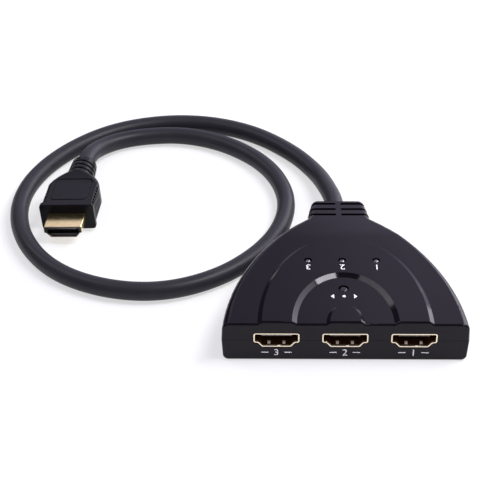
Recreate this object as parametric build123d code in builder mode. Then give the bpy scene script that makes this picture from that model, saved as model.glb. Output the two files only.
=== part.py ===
"""Three-port video switch box with a captive cable and plug.

All lengths are millimetres. +Z is up, +Y points from the port face to the neck, +X is the
port 1 side. The origin is the bottom centre of the box, measured over its neck and without
the cable: the box stands on the plane z = 0, and the plug and the cable lie on that plane.
"""
import os
from math import cos, radians, sin, tan

from build123d import *

os.makedirs("parts", exist_ok=True)


def save(part, name):
    """Label a finished piece and write its file."""
    part.label = name
    export_step(part, f"parts/{name}.step")


# Casing: plan. The land is what lies between an outer port and the side of the box
side_land = 10.575
neck_width = 23.2
neck_end_width = 19.6
casing_depth = 62.0
neck_length = 11.8
side_bow = 6.8
side_lead = 1.5
neck_root_radius = 2.0
neck_corner_radius = 2.9

# Casing: heights, walls and edges
parting_z = 8.4
low_top = 15.0
step_height = 1.0
floor_thickness = 1.8
roof_thickness = 2.4
wall = 1.9
side_draft = 3.0
shoulder_radius = 2.4
foot_edge_radius = 1.9
front_edge_radius = 0.7
rear_fall_length = 24.0
rear_fall = 2.4
overrun = 6.0

# Casing: arches on top, each a half ellipse (half width, depth) that springs from the port face
outer_arch = (28.6, 48.0)
middle_arch = (17.4, 26.6)
inner_arch = (6.3, 10.6)
outer_bevel = 1.5
middle_bevel = 1.6
inner_bevel = 1.3

# Casing: lip between the covers, neck grooves and screw posts
lip_thickness = 0.8
lip_height = 1.2
lip_clearance = 0.1
groove_width = 1.4
groove_depth = 1.1
groove_pitch = 3.9
groove_count = 3
groove_setback = 2.15
groove_foot = 2.2
spine_width = 1.9
post_radius = 3.0
boss_radius = 2.7
post_port_gap = 0.7
front_post_setback = 9.0
rear_post_spread = 30.0
rear_post_setback = 46.0

# Case screws
screw_shank_radius = 1.0
screw_head_radius = 1.9
screw_head_height = 1.4
screw_length = 9.5
screw_head_recess = 0.5
screw_hole_clearance = 0.2
pilot_clearance = 0.05
recess_arm = 2.2
recess_width = 0.5
recess_depth = 0.8

# Ports
port_count = 3
port_pitch = 22.4
port_width = 15.0
port_height = 5.6
port_waist_width = 12.2
port_foot_width = 9.4
port_waist_drop = 3.9
port_corner_radius = 0.8
port_sheet = 0.45
port_length = 11.6
port_slot_clearance = 0.12
tongue_width = 10.4
tongue_thickness = 0.9
tongue_gap = 0.35
tongue_setback = 1.4
core_length = 4.2
core_clearance = 0.05

# Contacts of ports and plug
upper_contacts = 10
contact_pitch = 1.0
contact_width = 0.4
contact_thickness = 0.12
contact_setback = 0.5
contact_foot = 1.0
lower_contact_standoff = 0.6
upper_contact_standoff = 2.4

# Circuit board
board_thickness = 1.6
board_gap = 0.5
board_setback = 0.4
board_length = 49.5

# Lamps
lamp_pitch = 11.6
lamp_setback = 33.4
lamp_radius = 1.2
lamp_hole_radius = 1.35
lamp_flange_radius = 1.55
lamp_flange_height = 0.8
lamp_height = 6.0
lamp_recess = 0.05
lamp_leg = 0.5
lamp_leg_pitch = 1.8

# Select button and the switch under it
button_setback = 19.0
button_radius = 1.55
button_clearance = 0.2
button_recess = 0.1
button_flange_radius = 2.3
button_flange_height = 0.8
button_flange_gap = 0.3
button_edge_radius = 0.9
button_travel = 0.3
switch_side = 6.0
switch_height = 3.5
plunger_radius = 1.65
plunger_depth = 0.6
plunger_clearance = 0.12

# Chips and small parts on the board: places are measured from the middle of the port face
chip_stand = 0.15
chip_leg_pitch = 0.8
chip_leg_width = 0.35
chip_leg_reach = 1.1
chip_leg_thickness = 0.2
main_chip_side = 9.0
main_chip_height = 1.4
main_chip_place = (-16.5, 24.0)
main_chip_legs = 10
control_chip_side = 5.0
control_chip_height = 1.5
control_chip_place = (16.5, 24.0)
control_chip_legs = 4
capacitor_size = (0.8, 1.6, 0.9)
capacitor_pitch = 3.4
capacitor_columns = 4
capacitor_rows = 2
capacitor_place = (16.5, 33.0)
resistor_size = (0.8, 1.6, 0.45)
resistor_pitch = 2.6
resistor_count = 6
resistor_place = (0.0, 41.0)

# Cable, its gland and inner wires
cable_diameter = 6.7
cable_exit_x = -0.6
cable_exit_z = 6.9
cable_straight = 7.0
gland_radius = 3.9
gland_clearance = 0.1
gland_end_wall = 3.4
gland_flange_width = 12.0
gland_flange_height = 8.8
gland_flange_length = 3.0
gland_sleeve_radius = 3.5
gland_sleeve_length = 9.4
wire_count = 7
wire_diameter = 0.7
wire_exit_pitch = 0.95
wire_pad_pitch = 2.0
wire_straight = 2.0
wire_slope = 4.6
wire_lift = 0.05
wire_bend_radius = 1.6

# Plug, which lies on the floor a little turned and rolled
plug_face_x = -98.8
plug_face_setback = 72.9
plug_yaw = 4.8
plug_roll = 4.1
plug_rim_width = 20.2
plug_rim_height = 10.6
plug_rim_length = 1.7
plug_rim_radius = 1.2
plug_body_width = 19.4
plug_body_height = 9.8
plug_body_radius = 1.6
plug_straight = 15.0
plug_length = 22.5
plug_shoulder_width = 16.6
plug_shoulder_height = 10.3
plug_shoulder_radius = 3.0
plug_shoulder_setback = 19.2
plug_tail_width = 12.8
plug_tail_height = 11.0
plug_tail_radius = 5.2
plug_panel_width = 14.2
plug_panel_length = 13.8
plug_panel_setback = 3.9
plug_panel_radius = 2.0
plug_panel_line = 0.45
plug_panel_depth = 0.3
grip_grooves = 6
grip_pitch = 1.8
grip_width = 0.9
grip_depth = 0.6
grip_setback = 3.2
boot_length = 11.5
boot_start_radius = 5.45
boot_end_radius = 4.8
boot_groove_width = 0.8
boot_groove_depth = 0.5
boot_grooves = 3
boot_groove_pitch = 2.7
boot_groove_setback = 2.6
shell_width = 13.9
shell_height = 4.45
shell_waist_width = 12.6
shell_foot_width = 9.4
shell_side_drop = 2.6
shell_corner_radius = 0.4
shell_sheet = 0.35
shell_reach = 9.0
shell_inset = 4.0
shell_drop = 0.45
shell_clearance = 0.05
plug_core_setback = 0.5
plug_slot_width = 11.6
plug_slot_height = 1.7
plug_slot_depth = 7.0
plug_contact_length = 5.5

# Values that follow from the sizes above
front_width = 2 * (port_pitch + port_width / 2 + side_land)
front_post_spread = 2 * (port_pitch + port_width / 2 + post_port_gap + post_radius)
overall_depth = casing_depth + neck_length
front_y = -overall_depth / 2
rear_y = overall_depth / 2
neck_y = front_y + casing_depth
raised_top = low_top + step_height
roof_z = low_top - roof_thickness
cavity_front = front_y + wall
cavity_rear = neck_y - wall
port_z = parting_z
board_top = port_z - port_height / 2
board_bottom = board_top - board_thickness
board_front = cavity_front + board_setback
fall_start_y = rear_y - rear_fall_length
lower_contacts = upper_contacts - 1
port_places = [(1 - k) * port_pitch for k in range(port_count)]
lamp_places = [(1 - k) * lamp_pitch for k in range(port_count)]
lamp_y = front_y + lamp_setback
lamp_base_z = raised_top - lamp_recess - lamp_height
button_y = front_y + button_setback
button_top = low_top - button_recess
button_base_z = roof_z - button_flange_gap - button_flange_height
switch_top = board_top + switch_height
screw_top = screw_head_recess + screw_length
screw_seat_z = screw_head_recess + screw_head_height
flange_back_y = rear_y - gland_end_wall
flange_front_y = flange_back_y - gland_flange_length
sleeve_end_y = flange_front_y - gland_sleeve_length
groove_places = [rear_y - groove_setback - k * groove_pitch for k in range(groove_count)]
post_places = [
    (side * spread / 2, front_y + setback)
    for spread, setback in (
        (front_post_spread, front_post_setback),
        (rear_post_spread, rear_post_setback),
    )
    for side in (-1, 1)
]


def row(count, pitch):
    """Evenly spaced places either side of zero."""
    return [(k - (count - 1) / 2) * pitch for k in range(count)]


def casing_outline(inset=0, stretch=0):
    """Plan of the box, run out past the port face, and with stretch past the neck too."""
    nose_y = front_y - overrun
    lead_y = front_y - side_lead
    end_x = neck_end_width / 2 - (neck_width - neck_end_width) / 2 * stretch / neck_length
    end_y = rear_y + stretch
    with BuildSketch() as plan:
        with BuildLine():
            side = SagittaArc((front_width / 2, lead_y), (neck_width / 2, neck_y), -side_bow)
            Line((0, nose_y), (front_width / 2, nose_y))
            Line((front_width / 2, nose_y), side @ 0)
            Line(side @ 1, (end_x, end_y))
            Line((end_x, end_y), (0, end_y))
            mirror(about=Plane.YZ)
        make_face()
        fillet([v for v in plan.vertices() if abs(v.Y - neck_y) < wall], neck_root_radius)
        if not stretch:
            fillet(plan.vertices().group_by(Axis.Y)[-1], neck_corner_radius)
        if inset:
            offset(amount=-inset)
    return plan.sketch


def cavity_outline(low_y, high_y, inset=wall):
    """Plan of the box drawn in, between two depths."""
    with BuildSketch() as plan:
        add(casing_outline(inset))
        with Locations((0, (low_y + high_y) / 2)):
            Rectangle(front_width, high_y - low_y, mode=Mode.INTERSECT)
    return plan.sketch


def socket_outline(width, height, waist_width, foot_width, drop, radius, grow=0):
    """Section of a socket or plug shell: upright sides, then slopes to a narrower foot."""
    with BuildSketch() as section:
        with BuildLine():
            Polyline(
                (0, height / 2),
                (width / 2, height / 2),
                (width / 2, height / 2 - drop),
                (waist_width / 2, height / 2 - drop),
                (foot_width / 2, -height / 2),
                (0, -height / 2),
            )
            mirror(about=Plane.YZ)
        make_face()
        fillet([v for v in section.vertices() if abs(v.X) > radius], radius)
        if grow:
            offset(amount=grow)
    return section.sketch


def port_outline(grow=0):
    """Section of a port shell."""
    return socket_outline(port_width, port_height, port_waist_width, port_foot_width,
                          port_waist_drop, port_corner_radius, grow)


def port_plane(x, setback=0):
    """Plane across a port, its z towards the plug and its y up."""
    return Plane((x, front_y + setback, port_z), x_dir=(1, 0, 0), z_dir=(0, -1, 0))


def neck_groove(y):
    """Section of a neck groove: what surrounds the neck there, less its core and spine."""
    back_share = (rear_y - y) / neck_length
    half = neck_end_width / 2 + (neck_width - neck_end_width) / 2 * back_share - groove_depth
    top = low_top - rear_fall * (1 - (rear_y - y) / rear_fall_length) - groove_depth
    with BuildSketch() as section:
        with Locations((0, groove_foot)):
            Rectangle(neck_width + overrun, raised_top, align=(Align.CENTER, Align.MIN))
            Rectangle(2 * half, top - groove_foot, align=(Align.CENTER, Align.MIN), mode=Mode.SUBTRACT)
        fillet([v for v in section.vertices() if abs(v.Y - top) < lip_clearance],
               shoulder_radius - groove_depth)
        with Locations((0, top)):
            Rectangle(spine_width, overrun + raised_top, mode=Mode.SUBTRACT)
    return section.sketch


def gland_form(grow=0):
    """Gland with its stem, flange and inner sleeve, or with grow the space that holds it."""
    with BuildPart() as form:
        with BuildSketch(Plane((cable_exit_x, rear_y, cable_exit_z), z_dir=(0, -1, 0))):
            Circle(gland_radius + grow)
        extrude(amount=gland_end_wall + gland_flange_length / 2)
        with BuildSketch(Plane((cable_exit_x, flange_back_y + grow, cable_exit_z),
                               x_dir=(1, 0, 0), z_dir=(0, -1, 0))):
            Rectangle(gland_flange_width + 2 * grow, gland_flange_height + 2 * grow)
        extrude(amount=gland_flange_length + 2 * grow)
        with BuildSketch(Plane((cable_exit_x, flange_front_y, cable_exit_z), z_dir=(0, -1, 0))):
            Circle(gland_sleeve_radius + grow)
        extrude(amount=gland_sleeve_length)
    return form.part


# Top cover
with BuildPart() as top_cover:
    with BuildSketch(Plane.XY.offset(parting_z)):
        add(casing_outline(stretch=overrun))
    extrude(amount=low_top - parting_z, taper=side_draft)
    with BuildSketch(Plane.YZ.offset(-front_width)):
        with BuildLine():
            Polyline(
                (fall_start_y, low_top),
                (rear_y + overrun, low_top - rear_fall * (1 + overrun / rear_fall_length)),
                (rear_y + overrun, low_top + overrun),
                (fall_start_y, low_top + overrun),
                (fall_start_y, low_top),
            )
        make_face()
    extrude(amount=2 * front_width, mode=Mode.SUBTRACT)
    across = top_cover.edges().filter_by(Axis.X)
    rim = [e for e in top_cover.edges() if e.bounding_box().min.Z > roof_z - wall and e not in across]
    fillet(rim, shoulder_radius)
    with BuildSketch(Plane.XY.offset(parting_z)):
        add(casing_outline())
    extrude(amount=low_top - parting_z, taper=side_draft, mode=Mode.INTERSECT)
    for sizes, bevel, low, high, mode in (
        (outer_arch, outer_bevel, low_top, raised_top, Mode.ADD),
        (middle_arch, middle_bevel, raised_top, low_top, Mode.SUBTRACT),
        (inner_arch, inner_bevel, low_top, raised_top, Mode.ADD),
    ):
        for height, shrink in ((low, 0), (high, bevel)):
            with BuildSketch(Plane.XY.offset(height)):
                with Locations((0, front_y)):
                    Ellipse(sizes[1] - shrink, sizes[0] - shrink, rotation=-90)
        loft(mode=mode)
    split(bisect_by=Plane.XZ.offset(-front_y), keep=Keep.BOTTOM)
    face = top_cover.faces().filter_by(Axis.Y).sort_by(Axis.Y)[0]
    fillet([e for e in face.outer_wire().edges() if e.center().Z > parting_z + lip_clearance],
           front_edge_radius)
    with BuildSketch(Plane.XY.offset(parting_z)):
        add(cavity_outline(cavity_front, cavity_rear))
    extrude(amount=roof_z - parting_z, mode=Mode.SUBTRACT)
    with BuildSketch(Plane.XY.offset(parting_z)):
        add(cavity_outline(cavity_front, cavity_rear, wall - lip_thickness - lip_clearance))
    extrude(amount=lip_height + lip_clearance, mode=Mode.SUBTRACT)
    with BuildSketch(Plane.XY.offset(board_top)):
        with Locations(*post_places):
            Circle(boss_radius)
    extrude(amount=roof_z - board_top)
    with BuildSketch(Plane.XY.offset(board_top)):
        with Locations(*post_places):
            Circle(screw_shank_radius + pilot_clearance)
    extrude(amount=screw_top - board_top + screw_hole_clearance, mode=Mode.SUBTRACT)
    with BuildSketch(Plane.XY.offset(board_top)):
        with Locations(*[(x, lamp_y) for x in lamp_places]):
            Circle(lamp_hole_radius)
        with Locations((0, button_y)):
            Circle(button_radius + button_clearance)
    extrude(amount=raised_top + overrun, mode=Mode.SUBTRACT)
    for x in port_places:
        with BuildSketch(port_plane(x, wall)):
            add(port_outline(port_slot_clearance))
        extrude(amount=wall + overrun, mode=Mode.SUBTRACT)
    for y in groove_places:
        with BuildSketch(Plane.XZ.offset(-y)):
            add(neck_groove(y))
        extrude(amount=groove_width / 2, both=True, mode=Mode.SUBTRACT)
    add(gland_form(gland_clearance), mode=Mode.SUBTRACT)
save(top_cover.part, "top_cover")

# Bottom cover
with BuildPart() as bottom_cover:
    with BuildSketch(Plane.XY.offset(parting_z)):
        add(casing_outline())
    extrude(amount=-parting_z, taper=side_draft)
    fillet(bottom_cover.faces().sort_by(Axis.Z)[0].edges(), foot_edge_radius)
    split(bisect_by=Plane.XZ.offset(-front_y), keep=Keep.BOTTOM)
    face = bottom_cover.faces().filter_by(Axis.Y).sort_by(Axis.Y)[0]
    fillet([e for e in face.outer_wire().edges() if e.center().Z < parting_z - lip_clearance],
           front_edge_radius)
    with BuildSketch(Plane.XY.offset(floor_thickness)):
        add(cavity_outline(cavity_front, cavity_rear))
    extrude(amount=parting_z, mode=Mode.SUBTRACT)
    with BuildSketch(Plane.XY.offset(parting_z - lip_height)):
        add(cavity_outline(cavity_front, cavity_rear, wall - lip_thickness))
        add(cavity_outline(cavity_front, cavity_rear), mode=Mode.SUBTRACT)
    extrude(amount=2 * lip_height)
    with BuildSketch(Plane.XY.offset(floor_thickness / 2)):
        with Locations(*post_places):
            Circle(post_radius)
    extrude(amount=board_bottom - floor_thickness / 2)
    with BuildSketch():
        with Locations(*post_places):
            Circle(screw_head_radius + screw_hole_clearance)
    extrude(amount=screw_seat_z, mode=Mode.SUBTRACT)
    with BuildSketch():
        with Locations(*post_places):
            Circle(screw_shank_radius + screw_hole_clearance)
    extrude(amount=parting_z, mode=Mode.SUBTRACT)
    for x in port_places:
        with BuildSketch(port_plane(x, wall)):
            add(port_outline(port_slot_clearance))
        extrude(amount=wall + overrun, mode=Mode.SUBTRACT)
    for y in groove_places:
        with BuildSketch(Plane.XZ.offset(-y)):
            add(neck_groove(y))
        extrude(amount=groove_width / 2, both=True, mode=Mode.SUBTRACT)
    add(gland_form(gland_clearance), mode=Mode.SUBTRACT)
save(bottom_cover.part, "bottom_cover")

# Circuit board, held between the screw posts and the bosses
with BuildPart() as circuit_board:
    with BuildSketch(Plane.XY.offset(board_bottom)):
        add(cavity_outline(board_front, board_front + board_length, wall + board_gap))
        with Locations(*post_places):
            Circle(screw_shank_radius + screw_hole_clearance, mode=Mode.SUBTRACT)
    extrude(amount=board_thickness)
save(circuit_board.part, "circuit_board")

# Case screws, driven from the underside
with BuildPart() as case_screws:
    with BuildSketch(Plane.XY.offset(screw_seat_z)):
        with Locations(*post_places):
            Circle(screw_shank_radius)
    extrude(amount=screw_length - screw_head_height)
    with BuildSketch(Plane.XY.offset(screw_head_recess)):
        with Locations(*post_places):
            Circle(screw_head_radius)
    extrude(amount=screw_head_height)
    with BuildSketch(Plane.XY.offset(screw_head_recess)):
        with Locations(*post_places):
            Rectangle(recess_arm, recess_width)
            Rectangle(recess_width, recess_arm)
    extrude(amount=recess_depth, mode=Mode.SUBTRACT)
save(case_screws.part, "case_screws")


def tongue_top():
    """Height of the top face of a port's tongue above the port's centre."""
    return port_height / 2 - port_sheet - tongue_gap


def contact_strip(back_y, strip_z):
    """Side view of a contact: along the tongue, down behind the port and a foot on the board."""
    front = front_y + tongue_setback + contact_setback
    with BuildSketch() as profile:
        with BuildLine():
            Polyline(
                (front, strip_z),
                (back_y - contact_thickness, strip_z),
                (back_y - contact_thickness, board_top),
                (back_y + contact_foot, board_top),
                (back_y + contact_foot, board_top + contact_thickness),
                (back_y, board_top + contact_thickness),
                (back_y, strip_z + contact_thickness),
                (front, strip_z + contact_thickness),
                close=True,
            )
        make_face()
    return profile.sketch


# Ports: a sheet metal shell, a moulded core with its tongue, and the contacts
for k, x in enumerate(port_places, 1):
    with BuildPart() as port_shell:
        with BuildSketch(port_plane(x)):
            add(port_outline())
            add(port_outline(-port_sheet), mode=Mode.SUBTRACT)
        extrude(amount=-port_length)
    save(port_shell.part, f"port_{k}_shell")

    tongue_z = port_z + tongue_top()
    upper_y = front_y + port_length + upper_contact_standoff
    lower_y = front_y + port_length + lower_contact_standoff
    with BuildPart() as port_contacts:
        for count, back_y, strip_z in (
            (upper_contacts, upper_y, tongue_z),
            (lower_contacts, lower_y, tongue_z - tongue_thickness - contact_thickness),
        ):
            for place in row(count, contact_pitch):
                with BuildSketch(Plane.YZ.offset(x + place - contact_width / 2)):
                    add(contact_strip(back_y, strip_z))
            extrude(amount=contact_width)
    save(port_contacts.part, f"port_{k}_contacts")

    with BuildPart() as port_core:
        with BuildSketch(port_plane(x, port_length - core_length)):
            add(port_outline(-port_sheet - core_clearance))
        extrude(amount=-core_length)
        with BuildSketch(port_plane(x, tongue_setback)):
            with Locations((0, tongue_top())):
                Rectangle(tongue_width, tongue_thickness, align=(Align.CENTER, Align.MAX))
        extrude(amount=-(port_length - tongue_setback))
        add(port_contacts.part, mode=Mode.SUBTRACT)
    save(port_core.part, f"port_{k}_core")

# Lamps, each on two leads
for k, x in enumerate(lamp_places, 1):
    with BuildPart() as lamp:
        with BuildSketch(Plane.XZ.offset(-lamp_y)):
            with BuildLine():
                base = Line((x, lamp_base_z), (x + lamp_flange_radius, lamp_base_z))
                rim_line = Line(base @ 1, base @ 1 + Vector(0, lamp_flange_height))
                ledge = Line(rim_line @ 1, (x + lamp_radius, lamp_base_z + lamp_flange_height))
                side = Line(ledge @ 1, (x + lamp_radius, lamp_base_z + lamp_height - lamp_radius))
                dome = RadiusArc(side @ 1, (x, lamp_base_z + lamp_height), -lamp_radius)
                Line(dome @ 1, base @ 0)
            make_face()
        revolve(axis=Axis((x, lamp_y, 0), (0, 0, 1)))
    save(lamp.part, f"lamp_{k}")

with BuildPart() as lamp_legs:
    with BuildSketch(Plane.XY.offset(board_top)):
        with Locations(*[(x + lead, lamp_y) for x in lamp_places for lead in row(2, lamp_leg_pitch)]):
            Rectangle(lamp_leg, lamp_leg)
    extrude(amount=lamp_base_z - board_top)
save(lamp_legs.part, "lamp_legs")

# Select button, its plunger and the switch that it presses
with BuildPart() as select_button:
    with BuildSketch(Plane.XY.offset(button_base_z)):
        with Locations((0, button_y)):
            Circle(button_flange_radius)
    extrude(amount=button_flange_height)
    with BuildSketch(Plane.XY.offset(button_base_z)):
        with Locations((0, button_y)):
            Circle(button_radius)
    extrude(amount=button_top - button_base_z)
    fillet(select_button.edges().sort_by(Axis.Z)[-1], button_edge_radius)
save(select_button.part, "select_button")

with BuildPart() as switch_plunger:
    with BuildSketch(Plane.XY.offset(switch_top - plunger_depth)):
        with Locations((0, button_y)):
            Circle(plunger_radius)
    extrude(amount=button_base_z - switch_top + plunger_depth)
save(switch_plunger.part, "switch_plunger")

with BuildPart() as switch_body:
    with BuildSketch(Plane.XY.offset(board_top)):
        with Locations((0, button_y)):
            Rectangle(switch_side, switch_side)
    extrude(amount=switch_height)
    with BuildSketch(Plane.XY.offset(switch_top)):
        with Locations((0, button_y)):
            Circle(plunger_radius + plunger_clearance)
    extrude(amount=-(plunger_depth + button_travel + plunger_clearance), mode=Mode.SUBTRACT)
save(switch_body.part, "switch_body")


def board_place(place):
    """A place on the board, from one measured off the middle of the port face."""
    return (place[0], front_y + place[1])


# Chips with their leads, capacitors and resistors
for name, side, height, place in (
    ("main_chip", main_chip_side, main_chip_height, main_chip_place),
    ("control_chip", control_chip_side, control_chip_height, control_chip_place),
):
    with BuildPart() as chip:
        with BuildSketch(Plane.XY.offset(board_top + chip_stand)):
            with Locations(board_place(place)):
                Rectangle(side, side)
        extrude(amount=height)
    save(chip.part, name)

with BuildPart() as chip_legs:
    with BuildSketch(Plane.XY.offset(board_top)):
        for side, count, place in (
            (main_chip_side, main_chip_legs, main_chip_place),
            (control_chip_side, control_chip_legs, control_chip_place),
        ):
            reach = side / 2 + chip_leg_reach / 2
            with Locations(board_place(place)):
                with Locations(*[(s * reach, leg) for s in (-1, 1) for leg in row(count, chip_leg_pitch)]):
                    Rectangle(chip_leg_reach, chip_leg_width)
                with Locations(*[(leg, s * reach) for s in (-1, 1) for leg in row(count, chip_leg_pitch)]):
                    Rectangle(chip_leg_width, chip_leg_reach)
    extrude(amount=chip_leg_thickness)
save(chip_legs.part, "chip_legs")

with BuildPart() as capacitors:
    with Locations((*board_place(capacitor_place), board_top)):
        with GridLocations(capacitor_pitch, capacitor_pitch, capacitor_columns, capacitor_rows):
            Box(*capacitor_size, align=(Align.CENTER, Align.CENTER, Align.MIN))
save(capacitors.part, "capacitors")

with BuildPart() as resistors:
    with Locations((*board_place(resistor_place), board_top)):
        with GridLocations(resistor_pitch, resistor_pitch, resistor_count, 1):
            Box(*resistor_size, align=(Align.CENTER, Align.CENTER, Align.MIN))
save(resistors.part, "resistors")

# Gland, clamped in the neck, and the wires that fan from its sleeve to the board
cable_gland = gland_form()
save(cable_gland, "cable_gland")

with BuildPart() as inner_wires:
    pad_z = board_top + wire_diameter / 2 + wire_lift
    for start_shift, end_x in zip(row(wire_count, wire_exit_pitch), row(wire_count, wire_pad_pitch)):
        start_x = cable_exit_x + start_shift
        with BuildLine() as path:
            FilletPolyline(
                (start_x, sleeve_end_y, cable_exit_z),
                (start_x, sleeve_end_y - wire_straight, cable_exit_z),
                (end_x, sleeve_end_y - wire_straight - wire_slope, pad_z),
                (end_x, sleeve_end_y - 2 * wire_straight - wire_slope, pad_z),
                radius=wire_bend_radius,
            )
        with BuildSketch(Plane((start_x, sleeve_end_y, cable_exit_z), z_dir=(0, -1, 0))):
            Circle(wire_diameter / 2)
        sweep(path=path.line)
save(inner_wires.part, "inner_wires")

# Plug: its plane stands across the housing's front face, z towards the shell and y up
plug_axis_z = (
    (plug_rim_width / 2 - plug_rim_radius) * sin(radians(plug_roll))
    + (plug_rim_height / 2 - plug_rim_radius) * cos(radians(plug_roll))
    + plug_rim_radius
)
yaw, roll = radians(plug_yaw), radians(plug_roll)
plug_plane = Plane(
    (plug_face_x, front_y + plug_face_setback, plug_axis_z),
    x_dir=(cos(yaw) * cos(roll), -sin(yaw) * cos(roll), sin(roll)),
    z_dir=(-sin(yaw), -cos(yaw), 0),
)
cable_end = plug_plane.offset(-plug_length - boot_length).origin
cable_lead_in = plug_plane.offset(-plug_length - boot_length - cable_straight).origin


def shell_outline(grow=0):
    """Section of the plug's shell, a little below the housing's middle."""
    with BuildSketch() as section:
        with Locations((0, -shell_drop)):
            add(socket_outline(shell_width, shell_height, shell_waist_width, shell_foot_width,
                               shell_side_drop, shell_corner_radius, grow))
    return section.sketch


with BuildPart() as plug_shell:
    with BuildSketch(plug_plane.offset(-shell_inset)):
        add(shell_outline())
        add(shell_outline(-shell_sheet), mode=Mode.SUBTRACT)
    extrude(amount=shell_inset + shell_reach)
save(plug_shell.part, "plug_shell")

with BuildPart() as plug_contacts:
    slot_end = shell_reach - plug_core_setback - plug_slot_depth
    for count, side in ((upper_contacts, 1), (lower_contacts, -1)):
        with BuildSketch(plug_plane.offset(slot_end)):
            with Locations((0, -shell_drop + side * (plug_slot_height - contact_thickness) / 2)):
                with GridLocations(contact_pitch, contact_pitch, count, 1):
                    Rectangle(contact_width, contact_thickness)
        extrude(amount=plug_contact_length)
save(plug_contacts.part, "plug_contacts")

with BuildPart() as plug_core:
    with BuildSketch(plug_plane.offset(-shell_inset)):
        add(shell_outline(-shell_sheet - core_clearance))
    extrude(amount=shell_inset + shell_reach - plug_core_setback)
    with BuildSketch(plug_plane.offset(slot_end)):
        with Locations((0, -shell_drop)):
            Rectangle(plug_slot_width, plug_slot_height)
    extrude(amount=plug_slot_depth, mode=Mode.SUBTRACT)
save(plug_core.part, "plug_core")

with BuildPart() as plug_housing:
    with BuildSketch(plug_plane):
        RectangleRounded(plug_rim_width, plug_rim_height, plug_rim_radius)
    extrude(amount=-plug_rim_length)
    with BuildSketch(plug_plane.offset(-plug_rim_length)):
        RectangleRounded(plug_body_width, plug_body_height, plug_body_radius)
    extrude(amount=-(plug_straight - plug_rim_length))
    for width, height, radius, setback in (
        (plug_body_width, plug_body_height, plug_body_radius, plug_straight),
        (plug_shoulder_width, plug_shoulder_height, plug_shoulder_radius, plug_shoulder_setback),
        (plug_tail_width, plug_tail_height, plug_tail_radius, plug_length),
    ):
        with BuildSketch(plug_plane.offset(-setback)):
            RectangleRounded(width, height, radius)
    loft()
    with BuildSketch(plug_plane.offset(-shell_inset)):
        add(shell_outline(shell_clearance))
    extrude(amount=shell_inset, mode=Mode.SUBTRACT)
    for k in range(grip_grooves):
        with BuildSketch(plug_plane.offset(-grip_setback - k * grip_pitch)):
            Rectangle(plug_rim_width, plug_body_height)
            Rectangle(plug_body_width - 2 * grip_depth, plug_rim_height, mode=Mode.SUBTRACT)
        extrude(amount=grip_width / 2, both=True, mode=Mode.SUBTRACT)
    panel_origin = plug_plane.from_local_coords(
        Vector(0, plug_body_height / 2 - plug_panel_depth, -plug_panel_setback - plug_panel_length / 2))
    with BuildSketch(Plane(panel_origin, x_dir=plug_plane.x_dir, z_dir=plug_plane.y_dir)):
        RectangleRounded(plug_panel_width, plug_panel_length, plug_panel_radius)
        RectangleRounded(plug_panel_width - 2 * plug_panel_line, plug_panel_length - 2 * plug_panel_line,
                         plug_panel_radius - plug_panel_line, mode=Mode.SUBTRACT)
    extrude(amount=plug_rim_height, mode=Mode.SUBTRACT)
save(plug_housing.part, "plug_housing")

with BuildPart() as plug_boot:
    for radius, setback in ((boot_start_radius, plug_length), (boot_end_radius, plug_length + boot_length)):
        with BuildSketch(plug_plane.offset(-setback)):
            Circle(radius)
    loft()
    for k in range(boot_grooves):
        setback = plug_length + boot_groove_setback + k * boot_groove_pitch
        with BuildSketch(plug_plane.offset(-setback)):
            Circle(boot_start_radius + boot_groove_width)
            Circle(boot_end_radius - boot_groove_depth, mode=Mode.SUBTRACT)
        extrude(amount=boot_groove_width / 2, both=True, mode=Mode.SUBTRACT)
save(plug_boot.part, "plug_boot")

# Cable: its route, chosen by hand, from the gland's face round one and a half turns to the boot
cable_route = [
    (cable_exit_x, rear_y, cable_exit_z),
    (cable_exit_x, rear_y + cable_straight, cable_exit_z),
    (-2.8, 55.6, 5.4),
    (-6.6, 69.1, 3.5),
    (-15.6, 83.4, 3.4),
    (-30.6, 97.4, 3.4),
    (-48.5, 104.9, 3.4),
    (-68.0, 105.7, 3.4),
    (-88.6, 98.9, 3.4),
    (-105.4, 83.3, 3.4),
    (-115.9, 64.3, 3.4),
    (-118.7, 44.1, 3.4),
    (-113.6, 23.9, 3.4),
    (-101.3, 6.5, 3.4),
    (-83.0, -3.6, 3.4),
    (-62.5, -5.8, 3.4),
    (-43.0, 2.1, 3.4),
    (-28.0, 17.1, 3.4),
    (-19.5, 34.6, 3.4),
    (-17.9, 54.1, 3.4),
    (-25.3, 74.4, 3.4),
    (-41.0, 89.7, 3.4),
    (-58.5, 96.6, 3.4),
    (-74.0, 95.6, 3.4),
    (-84.9, 91.6, 3.7),
    (-92.1, 84.7, 4.6),
    tuple(cable_lead_in),
    tuple(cable_end),
]
arc_share = 0.45
corners = [Vector(*point) for point in cable_route]
runs = [end - start for start, end in zip(corners, corners[1:])]
radii = [
    arc_share * min(before.length, after.length) / tan(radians(before.get_angle(after) / 2))
    for before, after in zip(runs, runs[1:])
]
with BuildPart() as cable:
    with BuildLine() as route:
        FilletPolyline(*cable_route, radius=radii)
    line = route.wires()[0]
    with BuildSketch(Plane(line @ 0, z_dir=line % 0)):
        Circle(cable_diameter / 2)
    sweep(path=line)
save(cable.part, "cable")
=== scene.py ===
"""Looks of a three-port video switch box with a captive cable and plug.

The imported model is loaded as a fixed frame, in metres, +Z up, with the port face at -Y. Every
operator below finishes one piece or one group of like pieces round that frame.
"""
from math import cos, pi, radians, sin

import bmesh
import bpy
from bpy.props import FloatProperty, FloatVectorProperty, PointerProperty
from mathutils import Matrix, Vector


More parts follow.
